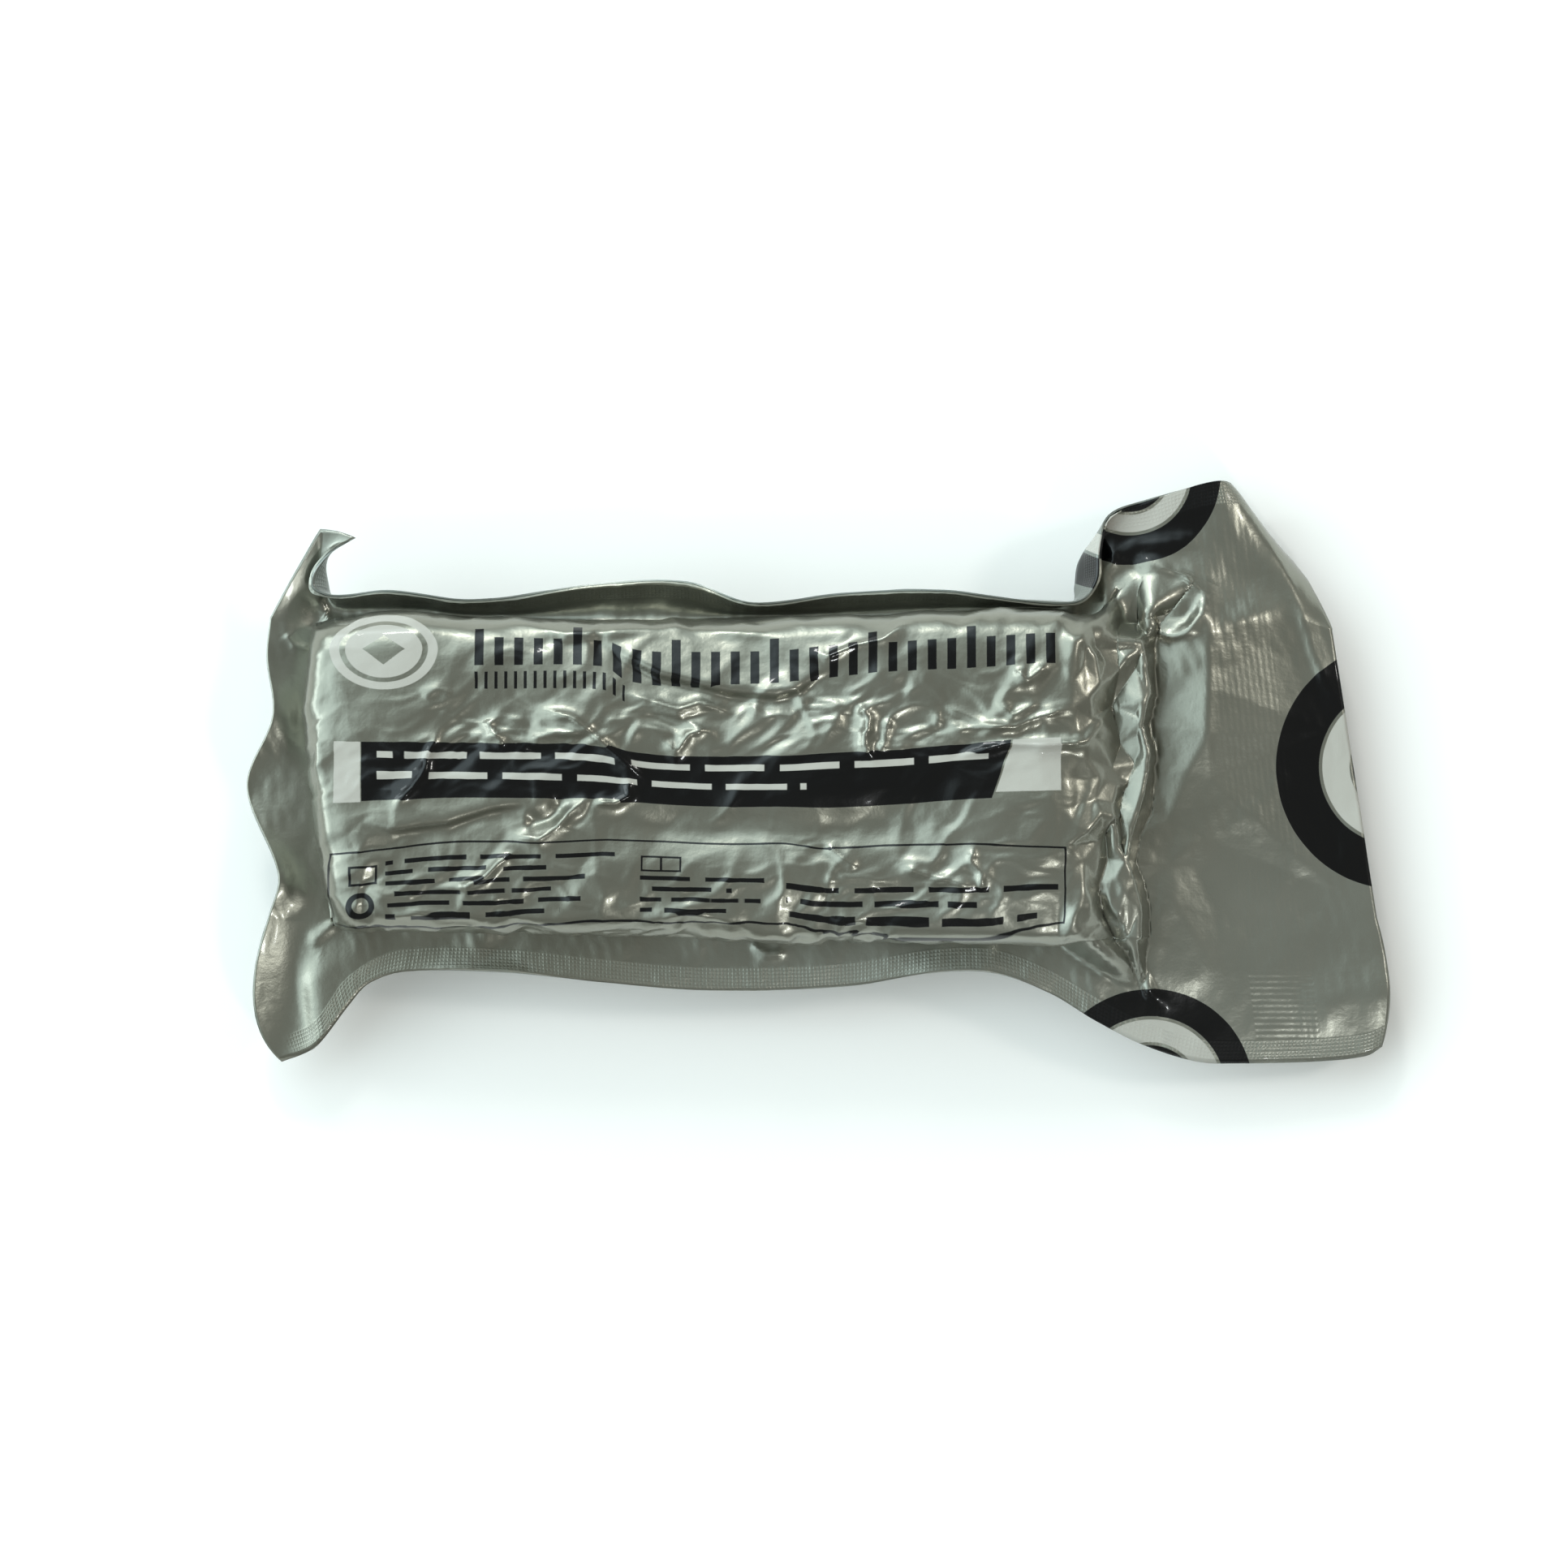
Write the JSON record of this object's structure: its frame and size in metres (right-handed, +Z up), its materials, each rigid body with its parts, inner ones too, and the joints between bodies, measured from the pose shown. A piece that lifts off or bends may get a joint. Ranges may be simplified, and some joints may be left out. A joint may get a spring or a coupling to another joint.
{
  "type": "vacuum packed emergency trauma bandage",
  "caption": "Folded trauma bandage vacuum packed in a wrinkled foil pouch, with sealed flanges, a wide flat header and a loose open mouth.",
  "frame": {"origin": "on the floor under the middle of the pouch, seen from above", "axes": "+X from the closed end to the open mouth, +Y to the far side, +Z up, out of the printed front film"},
  "size_m": [0.2226, 0.1136, 0.0316],
  "materials": {
    "front_film": "glossy grey green printed laminate, drawn tight and wrinkled",
    "back_film": "glossy darker grey green laminate",
    "bandage": "off white woven wrap, folded and pressed, hidden in the pouch"
  },
  "bodies": {
    "root": {"front_film": "front_film", "back_film": "back_film", "bandage_pack": "bandage"}
  },
  "joints": []
}
